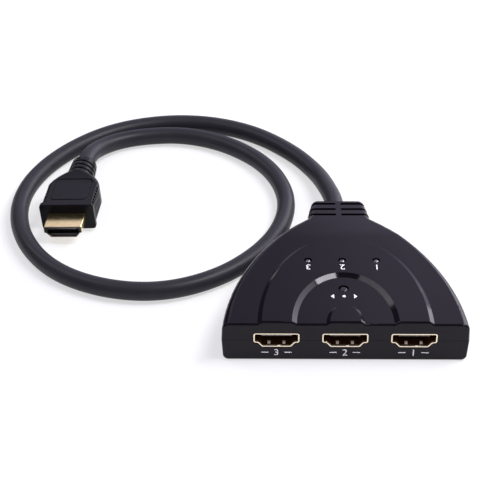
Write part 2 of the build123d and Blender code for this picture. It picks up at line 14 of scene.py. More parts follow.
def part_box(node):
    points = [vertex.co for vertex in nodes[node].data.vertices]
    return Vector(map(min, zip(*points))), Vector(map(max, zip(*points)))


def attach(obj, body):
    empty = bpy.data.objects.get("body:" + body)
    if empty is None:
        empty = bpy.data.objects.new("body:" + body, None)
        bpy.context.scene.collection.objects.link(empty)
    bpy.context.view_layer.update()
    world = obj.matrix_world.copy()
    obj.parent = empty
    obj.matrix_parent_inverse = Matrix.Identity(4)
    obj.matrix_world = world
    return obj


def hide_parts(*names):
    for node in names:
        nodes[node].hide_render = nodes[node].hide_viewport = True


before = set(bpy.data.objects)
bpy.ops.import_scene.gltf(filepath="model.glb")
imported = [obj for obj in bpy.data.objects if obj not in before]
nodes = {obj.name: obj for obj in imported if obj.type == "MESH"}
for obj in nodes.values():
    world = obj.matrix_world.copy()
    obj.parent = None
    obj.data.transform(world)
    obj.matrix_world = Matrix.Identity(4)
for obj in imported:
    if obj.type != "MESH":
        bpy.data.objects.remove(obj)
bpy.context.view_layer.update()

bl_info = {
    "name": "Switch box pieces",
    "version": (1, 0, 0),
    "blender": (4, 5, 0),
    "location": "3D View > Sidebar > Switch Box",
    "description": "Finishes the covers, ports, lamps, button, cable and plug of a switch box",
    "category": "Object",
}

MM = 0.001

# Places read from the frame
cover_low, cover_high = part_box("top_cover")
front_y = cover_low.y
raised_top = cover_high.z
step_height = 1.0 * MM
low_top = raised_top - step_height
port_boxes = [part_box(f"port_{k}_shell") for k in (1, 2, 3)]
port_front_y = port_boxes[0][0].y
port_low_z = port_boxes[0][0].z
port_high_z = port_boxes[0][1].z
lamp_boxes = [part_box(f"lamp_{k}") for k in (1, 2, 3)]

# Route of the cable in metres: control points of one smooth curve
cable_route = [
    (-0.0006, 0.0369, 0.0069),
    (-0.0006, 0.0439, 0.0069),
    (-0.0028, 0.0556, 0.0054),
    (-0.0066, 0.0691, 0.0035),
    (-0.0156, 0.0834, 0.0034),
    (-0.0306, 0.0974, 0.0034),
    (-0.0485, 0.1049, 0.0034),
    (-0.0680, 0.1057, 0.0034),
    (-0.0886, 0.0989, 0.0034),
    (-0.1054, 0.0833, 0.0034),
    (-0.1159, 0.0643, 0.0034),
    (-0.1187, 0.0441, 0.0034),
    (-0.1136, 0.0239, 0.0034),
    (-0.1013, 0.0065, 0.0034),
    (-0.0830, -0.0036, 0.0034),
    (-0.0625, -0.0058, 0.0034),
    (-0.0430, 0.0021, 0.0034),
    (-0.0280, 0.0171, 0.0034),
    (-0.0195, 0.0346, 0.0034),
    (-0.0179, 0.0541, 0.0034),
    (-0.0253, 0.0744, 0.0034),
    (-0.0410, 0.0897, 0.0034),
    (-0.0585, 0.0966, 0.0034),
    (-0.0740, 0.0956, 0.0034),
    (-0.0849, 0.0916, 0.0037),
    (-0.0921, 0.0847, 0.0046),
    (-0.09537, 0.07686, 0.00593),
    (-0.09596, 0.06988, 0.00593),
]
plug_yaw = radians(4.8)
plug_shell_width = 13.9 * MM


def plug_front():
    """The middle of the plug shell's front edge, and the way the plug points."""
    low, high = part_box("plug_shell")
    ahead = Vector((-sin(plug_yaw), -cos(plug_yaw), 0))
    across = Vector((cos(plug_yaw), -sin(plug_yaw), 0))
    corner = Vector((low.x, low.y - plug_shell_width * across.y, high.z))
    return corner + plug_shell_width / 2 * across, ahead


def middle_x(box):
    """The middle of a box along X."""
    low, high = box
    return (low.x + high.x) / 2


# Settings


def length_setting(name, description, default):
    """A length that a user would change."""
    return FloatProperty(name=name, description=description, default=default, unit="LENGTH")


def colour_setting(name, description, default):
    """A colour that a user would change."""
    return FloatVectorProperty(name=name, description=description, default=default, size=3,
                               subtype="COLOR", min=0.0, max=1.0)


class SwitchBoxSizes(bpy.types.PropertyGroup):
    """Sizes of what is modelled here"""

    cable_diameter: length_setting("Cable diameter", "Across the cable's jacket", 6.7 * MM)
    cover_edge: length_setting("Cover edge", "Softening of the covers' edges", 0.16 * MM)
    plug_edge: length_setting("Plug edge", "Softening of the plug's edges", 0.22 * MM)
    small_edge: length_setting("Small edge", "Softening of small pieces' edges", 0.07 * MM)
    lamp_mark_height: length_setting("Lamp numbers", "Height of the numbers by the lamps", 2.7 * MM)
    port_mark_height: length_setting("Port numbers", "Height of the numbers under the ports", 2.6 * MM)
    mark_relief: length_setting("Mark relief", "How far the printed marks stand out", 0.03 * MM)


class SwitchBoxColours(bpy.types.PropertyGroup):
    """Colours of the finishes"""

    cover: colour_setting("Covers", "Glossy moulded covers", (0.0056, 0.0046, 0.0072))
    jacket: colour_setting("Jacket", "Cable jacket", (0.022, 0.0215, 0.0265))
    plug: colour_setting("Plug", "Plug housing and boot", (0.009, 0.0084, 0.0104))
    gold: colour_setting("Gold", "Plated plug shell", (1.0, 0.83, 0.42))
    rim: colour_setting("Rims", "Plated rims of the ports", (0.95, 0.83, 0.64))
    # Painted shade: the plating's colour deep in a port, darkened to stand for the shade there
    inner_gold: colour_setting("Inner gold", "Plating deep in a port", (0.06, 0.022, 0.008))
    mark: colour_setting("Marks", "Printed marks", (0.93, 0.92, 0.93))
    floor: colour_setting("Floor", "Floor under the box", (0.9, 0.9, 0.9))


class SwitchBoxSettings(bpy.types.PropertyGroup):
    """All that a user would change"""

    sizes: PointerProperty(type=SwitchBoxSizes)
    colours: PointerProperty(type=SwitchBoxColours)


# Shader maths


class Wire:
    """One output in a material's tree. Arithmetic on it adds Math nodes."""

    def __init__(self, paint, socket):
        self.paint = paint
        self.socket = socket

    def math(self, operation, first, second):
        return self.paint.node("ShaderNodeMath", {"operation": operation}, {0: first, 1: second})

    def __add__(self, other):
        return self.math("ADD", self, other)

    def __radd__(self, other):
        return self.math("ADD", other, self)

    def __sub__(self, other):
        return self.math("SUBTRACT", self, other)

    def __rsub__(self, other):
        return self.math("SUBTRACT", other, self)

    def __mul__(self, other):
        return self.math("MULTIPLY", self, other)

    def __rmul__(self, other):
        return self.math("MULTIPLY", other, self)


class Paint:
    """A material or world under way: node() adds any node, and close() ends it."""

    def __init__(self, owner):
        self.owner = owner
        self.owner.use_nodes = True
        self.tree = self.owner.node_tree
        self.tree.nodes.clear()

    def node(self, kind, settings=None, inputs=None, out=0):
        made = self.tree.nodes.new(kind)
        for key, value in (settings or {}).items():
            setattr(made, key, value)
        for key, value in (inputs or {}).items():
            if isinstance(value, Wire):
                self.tree.links.new(value.socket, made.inputs[key])
            else:
                made.inputs[key].default_value = value
        return Wire(self, made.outputs[out])

    def place(self):
        return self.node("ShaderNodeTexCoord", out="Object")

    def axis(self, name):
        return self.node("ShaderNodeSeparateXYZ", inputs={0: self.place()}, out=name)

    def noise(self, scale, detail=3.0):
        return self.node("ShaderNodeTexNoise", inputs={
            "Vector": self.place(), "Scale": scale, "Detail": detail})

    def ramp(self, value, low, high):
        """0 below low, 1 above high, smooth between."""
        return self.node("ShaderNodeMapRange", {"interpolation_type": "SMOOTHSTEP"}, {
            "Value": value, "From Min": low, "From Max": high})

    def mix(self, share, first, second):
        return self.node("ShaderNodeMix", {"data_type": "RGBA"}, {
            0: share, 6: (*first, 1.0), 7: (*second, 1.0)}, out=2)

    def mottle(self, share, colour, dark, light):
        """A colour that goes with a share from one factor of itself to another."""
        return self.mix(share, shade(colour, dark), shade(colour, light))

    def bump(self, height, strength, distance):
        return self.node("ShaderNodeBump", inputs={
            "Height": height, "Strength": strength, "Distance": distance})

    def surface(self, inputs):
        return self.close(self.node("ShaderNodeBsdfPrincipled", inputs=inputs))

    def close(self, shader, output="ShaderNodeOutputMaterial"):
        end = self.tree.nodes.new(output)
        self.tree.links.new(shader.socket, end.inputs["Surface"])
        return self.owner


def new_paint(name):
    """The shader tree of a new material."""
    return Paint(bpy.data.materials.new(f"{name}_look"))


def shade(colour, factor):
    """A colour made lighter or darker by a factor."""
    return tuple(min(part * factor, 1.0) for part in colour)


# Finishes. Each fade is two distances between which a finish changes

cover_smudge_scale = 55.0
cover_peel_scale = 700.0
cover_peel_height = 0.05 * MM
skin_height = 0.06 * MM
plating_height = 0.02 * MM
grain_height = 0.03 * MM
# Painted shade in the ports starts and ends at these distances behind the port face
port_shade_fade = (0.3 * MM, 0.7 * MM)
# Painted highlight on the tongue gives way to painted shade between these distances behind the front
tongue_highlight_fade = (1.45 * MM, 1.75 * MM)
# Painted shade at the plug shell's front edge ends between these distances behind it
sleeve_shade_fade = (0.1 * MM, 0.3 * MM)
# Painted shade on a lamp fades out between these depths below the raised top
lamp_shade_fade = (1.6 * MM, 0.2 * MM)


def vary(grain, low, spread):
    """A value that rises from low by a spread with the grain."""
    return low + spread * grain


def cover_plastic(colour):
    """Glossy moulded plastic with faint smudges and a trace of orange peel."""
    paint = new_paint("cover_plastic")
    smudge = paint.noise(cover_smudge_scale, detail=5.0)
    peel = paint.noise(cover_peel_scale, detail=2.0)
    return paint.surface({
        "Base Color": paint.mottle(smudge, colour, dark=0.85, light=1.2),
        "Roughness": vary(smudge, low=0.07, spread=0.06),
        "Specular IOR Level": 0.2,
        "Specular Tint": (1.0, 0.96, 1.0, 1.0),
        "Normal": paint.bump(peel, strength=0.06, distance=cover_peel_height),
    })


def jacket_plastic(colour):
    """Soft black cable jacket with a fine skin."""
    paint = new_paint("jacket_plastic")
    skin = paint.noise(scale=1400.0, detail=4.0)
    wear = paint.noise(scale=90.0)
    return paint.surface({
        "Base Color": paint.mottle(wear, colour, dark=0.8, light=1.25),
        "Roughness": vary(wear, low=0.36, spread=0.12),
        "Specular IOR Level": 0.2,
        "Normal": paint.bump(skin, strength=0.18, distance=skin_height),
    })


def plug_plastic(colour):
    """Moulded plug plastic, a little more matt than the covers."""
    paint = new_paint("plug_plastic")
    skin = paint.noise(scale=1100.0)
    wear = paint.noise(scale=120.0)
    return paint.surface({
        "Base Color": paint.mottle(wear, colour, dark=0.8, light=1.25),
        "Roughness": vary(wear, low=0.2, spread=0.08),
        "Specular IOR Level": 0.1,
        "Normal": paint.bump(skin, strength=0.04, distance=skin_height),
    })


def gold_plate(colour, inner):
    """Plated sheet, bright at the rim, with painted shade that dims it with depth behind the port
    face.
    """
    paint = new_paint("gold_plate")
    grain = paint.noise(scale=600.0)
    depth = paint.ramp(paint.axis("Y"), *[port_front_y + distance for distance in port_shade_fade])
    return paint.surface({
        # Painted shade: from the rim colour to dark brown deeper in the port
        "Base Color": paint.mix(depth, colour, inner),
        "Metallic": 1.0 - depth,
        "Roughness": vary(depth, low=vary(grain, low=0.2, spread=0.12), spread=0.3),
        "Specular IOR Level": 0.03,
        "Normal": paint.bump(grain, strength=0.08, distance=plating_height),
    })


def port_plastic():
    """Insulator of a port with painted light: a pale painted highlight on the tongue's edge, painted
    shade behind it.
    """
    paint = new_paint("port_plastic")
    depth = paint.ramp(paint.axis("Y"), *[front_y + distance for distance in tongue_highlight_fade])
    return paint.surface({
        # Painted highlight at the front, painted shade deeper in the port
        "Base Color": paint.mix(depth, (0.2, 0.18, 0.16), (0.01, 0.005, 0.003)),
        "Roughness": vary(paint.noise(scale=900.0), low=0.4, spread=0.2),
        "Specular IOR Level": 0.3,
    })


def sleeve_gold(colour):
    """Plating of the plug's shell, with painted shade that makes it dull and dark at the front edge.
    """
    paint = new_paint("sleeve_gold")
    grain = paint.noise(scale=700.0)
    tip, ahead = plug_front()
    depth = ahead.dot(tip) - (ahead.x * paint.axis("X") + ahead.y * paint.axis("Y"))
    unshaded = paint.ramp(depth, *sleeve_shade_fade)
    return paint.surface({
        # Painted shade: dark brown at the shell's front edge, the plating colour behind it
        "Base Color": paint.mix(unshaded, (0.09, 0.07, 0.06), colour),
        "Metallic": unshaded,
        "Roughness": vary(grain, low=vary(unshaded, low=0.36, spread=-0.2), spread=0.14),
        "Normal": paint.bump(grain, strength=0.06, distance=plating_height),
    })


def contact_gold(colour):
    """Bright plating of the contacts in the ports and the plug."""
    paint = new_paint("contact_gold")
    grain = paint.noise(scale=700.0)
    return paint.surface({
        "Base Color": paint.mottle(grain, colour, dark=0.85, light=1.1),
        "Metallic": 1.0,
        "Roughness": vary(grain, low=0.16, spread=0.14),
        "Normal": paint.bump(grain, strength=0.06, distance=plating_height),
    })


def lamp_plastic():
    """Clear moulded lamp under a glossy dome, with painted shade: darker lower down in its hole."""
    paint = new_paint("lamp_plastic")
    height = paint.ramp(paint.axis("Z"), *[raised_top - distance for distance in lamp_shade_fade])
    return paint.surface({
        # Painted shade: near black low in the lamp's hole, grey at the dome's top
        "Base Color": paint.mix(height, (0.012, 0.012, 0.014), (0.07, 0.07, 0.08)),
        "Roughness": vary(paint.noise(scale=900.0), low=0.08, spread=0.05),
        "Coat Weight": 1.0,
        "Coat Roughness": 0.03,
    })


def mark_ink(colour):
    """Screen-printed ink with slightly uneven cover."""
    paint = new_paint("mark_ink")
    cover = paint.noise(scale=2500.0)
    return paint.surface({
        "Base Color": paint.mottle(cover, colour, dark=0.82, light=1.1),
        "Roughness": vary(cover, low=0.45, spread=0.15),
    })


def plain_finish(name, colour, metallic, roughness, scale):
    """A small piece's finish: an even colour broken by a fine grain."""
    paint = new_paint(name)
    grain = paint.noise(scale)
    return paint.surface({
        "Base Color": paint.mottle(grain, colour, dark=0.8, light=1.2),
        "Metallic": metallic,
        "Roughness": vary(grain, low=roughness, spread=0.12),
        "Normal": paint.bump(grain, strength=0.1, distance=grain_height),
    })


# Each plain finish: its colour, how metallic and how rough it is, and the scale of its grain
plain_finishes = {
    "plug_insulator": ((0.012, 0.012, 0.012), 0.0, 0.4, 900.0),
    # The strips on the tongues' front edges: a pale painted highlight
    "tongue_painted_highlight": ((0.19, 0.175, 0.15), 0.0, 0.35, 900.0),
    "spring_gold": ((0.98, 0.84, 0.6), 0.0, 0.4, 900.0),
    "tooth_plastic": ((0.3, 0.26, 0.24), 0.0, 0.4, 900.0),
    "gland_rubber": ((0.014, 0.014, 0.015), 0.0, 0.55, 800.0),
    "board_mask": ((0.015, 0.12, 0.045), 0.0, 0.3, 500.0),
    "chip_moulding": ((0.02, 0.02, 0.022), 0.0, 0.5, 1500.0),
    "ceramic": ((0.42, 0.29, 0.16), 0.0, 0.4, 1500.0),
    "resistor_glaze": ((0.03, 0.03, 0.035), 0.0, 0.25, 1500.0),
    "tin_plate": ((0.7, 0.7, 0.7), 1.0, 0.3, 1500.0),
    "screw_steel": ((0.5, 0.5, 0.52), 1.0, 0.28, 1200.0),
    "switch_moulding": ((0.03, 0.03, 0.032), 0.0, 0.45, 1200.0),
    # The button's cap, painted darker than the covers: painted shade, so it reads as the dark hole
    # round it
    "button_plastic": ((0.003, 0.003, 0.004), 0.0, 0.3, 900.0),
    "wire_sleeve": ((0.55, 0.55, 0.57), 0.0, 0.4, 900.0),
}


def make_finish(name):
    """The material for a finish's name."""
    colours = bpy.context.scene.switch_box.colours
    makers = {
        "cover_plastic": (cover_plastic, colours.cover),
        "jacket_plastic": (jacket_plastic, colours.jacket),
        "plug_plastic": (plug_plastic, colours.plug),
        "gold_plate": (gold_plate, colours.rim, colours.inner_gold),
        "sleeve_gold": (sleeve_gold, colours.gold),
        "contact_gold": (contact_gold, colours.gold),
        "lamp_plastic": (lamp_plastic,),
        "mark_ink": (mark_ink, colours.mark),
        "port_plastic": (port_plastic,),
    }
    if name in makers:
        maker, *given = makers[name]
        return maker(*given)
    return plain_finish(name, *plain_finishes[name])


finishes = {}


def finish(name):
    """A finish by its name, made when it is first asked for."""
    if name not in finishes:
        finishes[name] = make_finish(name)
    return finishes[name]


# Making pieces


def link(name, data):
    """A new object in the scene."""
    made = bpy.data.objects.new(name, data)
    bpy.context.scene.collection.objects.link(made)
    return made


def coat(mesh, finish_name):
    """Give a mesh its one finish."""
    mesh.materials.clear()
    mesh.materials.append(finish(finish_name))


def add_piece(name, mesh, finish_name, body="root"):
    """A finished piece that rides on a body."""
    coat(mesh, finish_name)
    made = link(name, mesh)
    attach(made, body)
    return made


def dress(node, finish_name):
    """Give a CAD node that stays its finish."""
    coat(nodes[node].data, finish_name)


crease_angle = radians(28)
flat_angle = radians(0.6)
merge_gap = 0.002 * MM
edge_segments = 2
normal_weight = 80


def soften(node, name, finish_name, edge, body="root"):
    """A copy of a CAD node with its triangles joined, its edges softened and smooth shading."""
    mesh = nodes[node].data.copy()
    work = bmesh.new()
    work.from_mesh(mesh)
    bmesh.ops.remove_doubles(work, verts=work.verts, dist=merge_gap)
    bmesh.ops.dissolve_limit(work, angle_limit=flat_angle, verts=work.verts, edges=work.edges)
    work.to_mesh(mesh)
    work.free()
    mesh.shade_smooth()
    made = add_piece(name, mesh, finish_name, body)
    bevel = made.modifiers.new("edges", "BEVEL")
    bevel.width = edge
    bevel.segments = edge_segments
    bevel.limit_method = "ANGLE"
    bevel.angle_limit = crease_angle
    bevel.harden_normals = True
    normals = made.modifiers.new("normals", "WEIGHTED_NORMAL")
    normals.keep_sharp = True
    normals.weight = normal_weight
    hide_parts(node)
    return made


def evaluated_mesh(source):
    """The object's mesh with its modifiers applied; the object itself is removed."""
    graph = bpy.context.evaluated_depsgraph_get()
    mesh = bpy.data.meshes.new_from_object(source.evaluated_get(graph))
    bpy.data.objects.remove(source)
    return mesh


# A row of copies, made with geometry nodes

row_inputs = {
    "Count": "NodeSocketInt",
    "Start": "NodeSocketVector",
    "Step": "NodeSocketVector",
}


def row_tree(name, finish_name):
    """Copies of the incoming mesh along a line, with the line's count, start and step as inputs."""
    tree = bpy.data.node_groups.new(name, "GeometryNodeTree")
    face = tree.interface
    face.new_socket("Geometry", in_out="INPUT", socket_type="NodeSocketGeometry")
    for label, kind in row_inputs.items():
        face.new_socket(label, in_out="INPUT", socket_type=kind)
    face.new_socket("Geometry", in_out="OUTPUT", socket_type="NodeSocketGeometry")
    given = tree.nodes.new("NodeGroupInput")
    line = tree.nodes.new("GeometryNodeMeshLine")
    copies = tree.nodes.new("GeometryNodeInstanceOnPoints")
    real = tree.nodes.new("GeometryNodeRealizeInstances")
    paint = tree.nodes.new("GeometryNodeSetMaterial")
    result = tree.nodes.new("NodeGroupOutput")
    paint.inputs["Material"].default_value = finish(finish_name)
    for start, end in (
        (given.outputs["Count"], line.inputs["Count"]),
        (given.outputs["Start"], line.inputs["Start Location"]),
        (given.outputs["Step"], line.inputs["Offset"]),
        (line.outputs["Mesh"], copies.inputs["Points"]),
        (given.outputs["Geometry"], copies.inputs["Instance"]),
        (copies.outputs["Instances"], real.inputs["Geometry"]),
        (real.outputs["Geometry"], paint.inputs["Geometry"]),
        (paint.outputs["Geometry"], result.inputs["Geometry"]),
    ):
        tree.links.new(start, end)
    return tree


def repeat(mesh, tree, count, start, step):
    """The mesh of a row of copies of one small mesh."""
    seed = link("seed", mesh)
    rows = seed.modifiers.new("row", "NODES")
    rows.node_group = tree
    values = {"Count": count, "Start": start, "Step": step}
    for item in tree.interface.items_tree:
        if item.in_out == "INPUT" and item.name in values:
            rows[item.identifier] = values[item.name]
    return evaluated_mesh(seed)


def new_mesh(work, name):
    """The mesh of what was modelled, its faces turned outward."""
    bmesh.ops.recalc_face_normals(work, faces=work.faces)
    mesh = bpy.data.meshes.new(name)
    work.to_mesh(mesh)
    work.free()
    return mesh


def join(meshes, name):
    """One mesh out of several."""
    work = bmesh.new()
    for mesh in meshes:
        work.from_mesh(mesh)
    return new_mesh(work, name)


def strip_mesh(name, profile, width):
    """A closed bar: a profile of (y, z) points swept along X by a width, centred on x = 0."""
    work = bmesh.new()
    ends = [[work.verts.new((side * width / 2, y, z)) for y, z in profile] for side in (-1, 1)]
    work.faces.new(ends[0][::-1])
    work.faces.new(ends[1])
    for k in range(len(profile)):
        after = (k + 1) % len(profile)
        work.faces.new((ends[0][k], ends[0][after], ends[1][after], ends[1][k]))
    return new_mesh(work, name)


def plate_mesh(outline, relief):
    """A flat shape facing +Z, as far above z = 0 as below."""
    work = bmesh.new()
    base = work.faces.new([work.verts.new((x, y, -relief)) for x, y in outline])
    raised = bmesh.ops.extrude_face_region(work, geom=[base])["geom"]
    corners = [part for part in raised if isinstance(part, bmesh.types.BMVert)]
    bmesh.ops.translate(work, vec=(0, 0, 2 * relief), verts=corners)
    return new_mesh(work, "plate")


# Operators, one for each piece or group of like pieces


class SWITCHBOX_OT_camera(bpy.types.Operator):
    """Place the camera at the photograph's viewpoint"""

    bl_idname = "switchbox.camera"
    bl_label = "Camera"

    # The eye in metres, the lens in millimetres and the angles in degrees
    eye = (-0.0249, -0.4125, 0.3226)
    lens = 112.5
    clip_start = 10 * MM
    tilt_down = 36.09
    turn = 1.37
    roll = -0.67

    def execute(self, context):
        camera = bpy.data.cameras.new("camera")
        camera.lens = self.lens
        camera.clip_start = self.clip_start
        holder = link("camera", camera)
        holder.matrix_world = (
            Matrix.Translation(self.eye)
            @ Matrix.Rotation(radians(self.turn), 4, "Z")
            @ Matrix.Rotation(pi / 2 - radians(self.tilt_down), 4, "X")
            @ Matrix.Rotation(radians(self.roll), 4, "Z")
        )
        context.scene.camera = holder
        return {"FINISHED"}


class SWITCHBOX_OT_cable(bpy.types.Operator):
    """Lay the cable along its route"""

    bl_idname = "switchbox.cable"
    bl_label = "Cable"

    ring_steps = 8
    route_steps = 10
    route_order = 3

    def execute(self, context):
        diameter = context.scene.switch_box.sizes.cable_diameter
        curve = bpy.data.curves.new("cable_run", "CURVE")
        curve.dimensions = "3D"
        curve.bevel_depth = diameter / 2
        curve.bevel_resolution = self.ring_steps
        curve.use_fill_caps = True
        spline = curve.splines.new("NURBS")
        spline.points.add(len(cable_route) - 1)
        for point, place in zip(spline.points, cable_route):
            point.co = (*place, 1.0)
        spline.order_u = self.route_order
        spline.use_endpoint_u = True
        spline.resolution_u = self.route_steps
        curve.materials.append(finish("jacket_plastic"))
        made = link("cable_run", curve)
        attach(made, "root")
        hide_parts("cable")
        return {"FINISHED"}


class SWITCHBOX_OT_stage(bpy.types.Operator):
    """Set the floor, the soft lights and the pale surroundings"""

    bl_idname = "switchbox.stage"
    bl_label = "Stage"

    floor_side = 4.0
    floor_drop = 0.05 * MM
    shadow_share = 0.4
    ambient = 0.4
    dim_share = 0.05
    back_level = 1.12
    back_gap_share = 0.5
    studio_tint = (0.82, 0.77, 1.0)
    lamp_tint = (0.97, 0.96, 1.0)
    # Fades of the pale back wall and of the gap in it, along the parts of a direction
    wall_left = (-0.38, -0.18)
    wall_near = (-0.2, 0.4)
    wall_top = (0.68, 0.9)
    gap_left = (-0.12, -0.05)
    gap_right = (-0.01, 0.1)
    # Each lamp: its place, the way it is long, its length, width and power
    lights = (
        ("key", (0.4, 0.01, 0.8), (0.41, 0.36, -0.21), 0.5, 0.16, 7.0),
        ("side", (0.78, 0.68, 0.55), (0.06, -0.57, 0.48), 1.15, 0.8, 9.5),
        ("left", (-0.5, 0.22, 0.68), (-0.38, 0.72, -0.41), 0.75, 0.2, 1.7),
    )

    def execute(self, context):
        half = self.floor_side / 2
        mesh = bpy.data.meshes.new("floor")
        corners = [(-half, -half), (half, -half), (half, half), (-half, half)]
        mesh.from_pydata([(x, y, -self.floor_drop) for x, y in corners], [], [(0, 1, 2, 3)])
        mesh.materials.append(self.floor_finish(context.scene.switch_box.colours.floor))
        link("floor", mesh)
        for light in self.lights:
            self.add_light(*light)
        self.surround(context.scene)
        context.scene.view_settings.view_transform = "Standard"
        return {"FINISHED"}

    def rays(self, paint):
        """1 for what the camera sees straight on, and 1 for what gloss and glass show."""
        camera, glossy, clear = [paint.node("ShaderNodeLightPath", out=name)
                                 for name in ("Is Camera Ray", "Is Glossy Ray", "Is Transmission Ray")]
        return camera, paint.node("ShaderNodeClamp", inputs={0: glossy + clear})

    def floor_finish(self, colour):
        paint = new_paint("floor")
        lit = paint.node("ShaderNodeBsdfDiffuse", inputs={"Color": (*colour, 1.0)})
        glow = paint.node("ShaderNodeEmission", inputs={"Color": (1.0, 1.0, 1.0, 1.0)})
        camera, mirrored = self.rays(paint)
        share = (1.0 - self.shadow_share) * (camera + mirrored)
        mixed = paint.node("ShaderNodeMixShader", inputs={0: share, 1: lit, 2: glow})
        return paint.close(mixed)

    def add_light(self, name, place, along, length, width, power):
        """A rectangular lamp that faces the origin, with its length turned along a direction."""
        light = bpy.data.lights.new(name, "AREA")
        light.shape = "RECTANGLE"
        light.size = length
        light.size_y = width
        light.energy = power
        light.color = self.lamp_tint
        back = Vector(place).normalized()
        across = back.cross(Vector(along)).normalized()
        turn = Matrix((across.cross(back), across, back)).transposed().to_4x4()
        link(name, light).matrix_world = Matrix.Translation(place) @ turn

    def surround(self, scene):
        """White for the camera, a dark studio with a pale back wall for gloss, even for the rest."""
        scene.world = bpy.data.worlds.new("surround")
        paint = Paint(scene.world)
        camera, mirrored = self.rays(paint)
        toward = paint.node("ShaderNodeTexCoord", out="Generated")
        x, y, z = [paint.node("ShaderNodeSeparateXYZ", inputs={0: toward}, out=name) for name in "XYZ"]
        gap = paint.ramp(x, *self.gap_left) - paint.ramp(x, *self.gap_right)
        wide = paint.ramp(x, *self.wall_left) * (1.0 - self.back_gap_share * gap)
        lit = wide * paint.ramp(y, *self.wall_near) * (1.0 - paint.ramp(z, *self.wall_top))
        studio = self.dim_share + (self.back_level - self.dim_share) * lit
        strength = mirrored * studio + self.ambient * (1.0 - mirrored)
        tinted = paint.node("ShaderNodeBackground", inputs={
            "Color": (*self.studio_tint, 1.0), "Strength": strength})
        white = paint.node("ShaderNodeBackground", inputs={"Color": (1.0, 1.0, 1.0, 1.0)})
        shown = paint.node("ShaderNodeMixShader", inputs={0: camera, 1: tinted, 2: white})
        paint.close(shown, "ShaderNodeOutputWorld")


class SWITCHBOX_OT_covers(bpy.types.Operator):
    """Finish the top and bottom covers and their screws"""

    bl_idname = "switchbox.covers"
    bl_label = "Covers"

    def execute(self, context):
        sizes = context.scene.switch_box.sizes
        soften("top_cover", "cover_top", "cover_plastic", sizes.cover_edge)
        soften("bottom_cover", "cover_bottom", "cover_plastic", sizes.cover_edge)
        soften("case_screws", "cover_screws", "screw_steel", sizes.small_edge)
        return {"FINISHED"}


class SWITCHBOX_OT_ports(bpy.types.Operator):
    """Finish the ports: shells, insulators, contacts and the sprung tabs in the shells"""

    bl_idname = "switchbox.ports"
    bl_label = "Ports"

    sheet = 0.45 * MM
    tab_count = 2
    tab_width = 0.95 * MM
    tab_spread = 4.9 * MM
    tab_setback = 1.0 * MM
    tab_length = 1.1 * MM
    tab_rise = 0.5 * MM
    tab_slope = 0.4 * MM
    tip_width = 10.0 * MM
    tip_setback = 0.85 * MM
    tip_length = 0.6 * MM
    tip_drop = 1.25 * MM
    tip_height = 0.7 * MM
    tip_chamfer = 0.12 * MM
    seam_offset = 0.8 * MM
    seam_width = 1.2 * MM
    seam_height = 0.28 * MM
    seam_depth = 0.4 * MM

    def tab_profile(self):
        """Side view of a sprung tab: a short slope up from the shell's floor and a flat top."""
        top = self.tab_rise
        return [(0, 0), (self.tab_length, 0), (self.tab_length, top), (self.tab_slope, top)]

    def tip_profile(self):
        """Side view of the pale strip on the tongue's front edge, a painted highlight."""
        nose = self.tip_height - self.tip_chamfer
        return [(0, self.tip_chamfer), (self.tip_chamfer, 0), (self.tip_length, 0),
                (self.tip_length, self.tip_height), (self.tip_chamfer, self.tip_height), (0, nose)]

    def seam_outline(self):
        """Front view of the folded seam in the shell's floor."""
        half, shoulder = self.seam_width / 2, self.seam_width / 4
        return [(-half, 0), (half, 0), (shoulder, self.seam_height), (-shoulder, self.seam_height)]

    def execute(self, context):
        edge = context.scene.switch_box.sizes.small_edge
        for k in (1, 2, 3):
            soften(f"port_{k}_shell", f"port_{k}_rim", "gold_plate", edge)
            soften(f"port_{k}_core", f"port_{k}_tongue", "port_plastic", edge)
            dress(f"port_{k}_contacts", "contact_gold")
        floor_z = port_low_z + self.sheet
        roof_z = port_high_z - self.sheet
        middles = [middle_x(box) for box in port_boxes]
        pitch = (middles[1] - middles[0], 0, 0)
        tabs = row_tree("tab_row", "spring_gold")
        tab = strip_mesh("tab", self.tab_profile(), self.tab_width)
        rows = []
        for middle in middles:
            start = (middle - self.tab_spread / 2, front_y + self.tab_setback, floor_z)
            rows.append(repeat(tab, tabs, self.tab_count, start, (self.tab_spread, 0, 0)))
        add_piece("port_tabs", join(rows, "port_tabs"), "spring_gold")
        # Pale strips at the tongues' front edges: painted highlight
        tip = strip_mesh("tip", self.tip_profile(), self.tip_width)
        start = (middles[0], front_y + self.tip_setback, roof_z - self.tip_drop)
        tips = repeat(tip, row_tree("tip_row", "tongue_painted_highlight"), len(middles), start, pitch)
        add_piece("port_tongue_edges", tips, "tongue_painted_highlight")
        seam = plate_mesh(self.seam_outline(), self.seam_depth / 2)
        seam.transform(Matrix.Rotation(pi / 2, 4, "X"))
        start = (middles[0] + self.seam_offset, port_front_y + self.seam_depth / 2, floor_z)
        seams = repeat(seam, row_tree("seam_row", "gold_plate"), len(middles), start, pitch)
        add_piece("port_seams", seams, "gold_plate")
        return {"FINISHED"}


class SWITCHBOX_OT_lamps(bpy.types.Operator):
    """Finish the lamps and their leads"""

    bl_idname = "switchbox.lamps"
    bl_label = "Lamps"

    def execute(self, context):
        edge = context.scene.switch_box.sizes.small_edge
        for k in (1, 2, 3):
            soften(f"lamp_{k}", f"lamp_{k}_dome", "lamp_plastic", edge)
        dress("lamp_legs", "tin_plate")
        return {"FINISHED"}


class SWITCHBOX_OT_button(bpy.types.Operator):
    """Finish the select button and its switch"""

    bl_idname = "switchbox.button"
    bl_label = "Select button"

    def execute(self, context):
        edge = context.scene.switch_box.sizes.small_edge
        # The cap's colour is darker than the covers, as painted shade
        soften("select_button", "button_cap", "button_plastic", edge, "button")
        dress("switch_plunger", "switch_moulding")
        dress("switch_body", "switch_moulding")
        return {"FINISHED"}


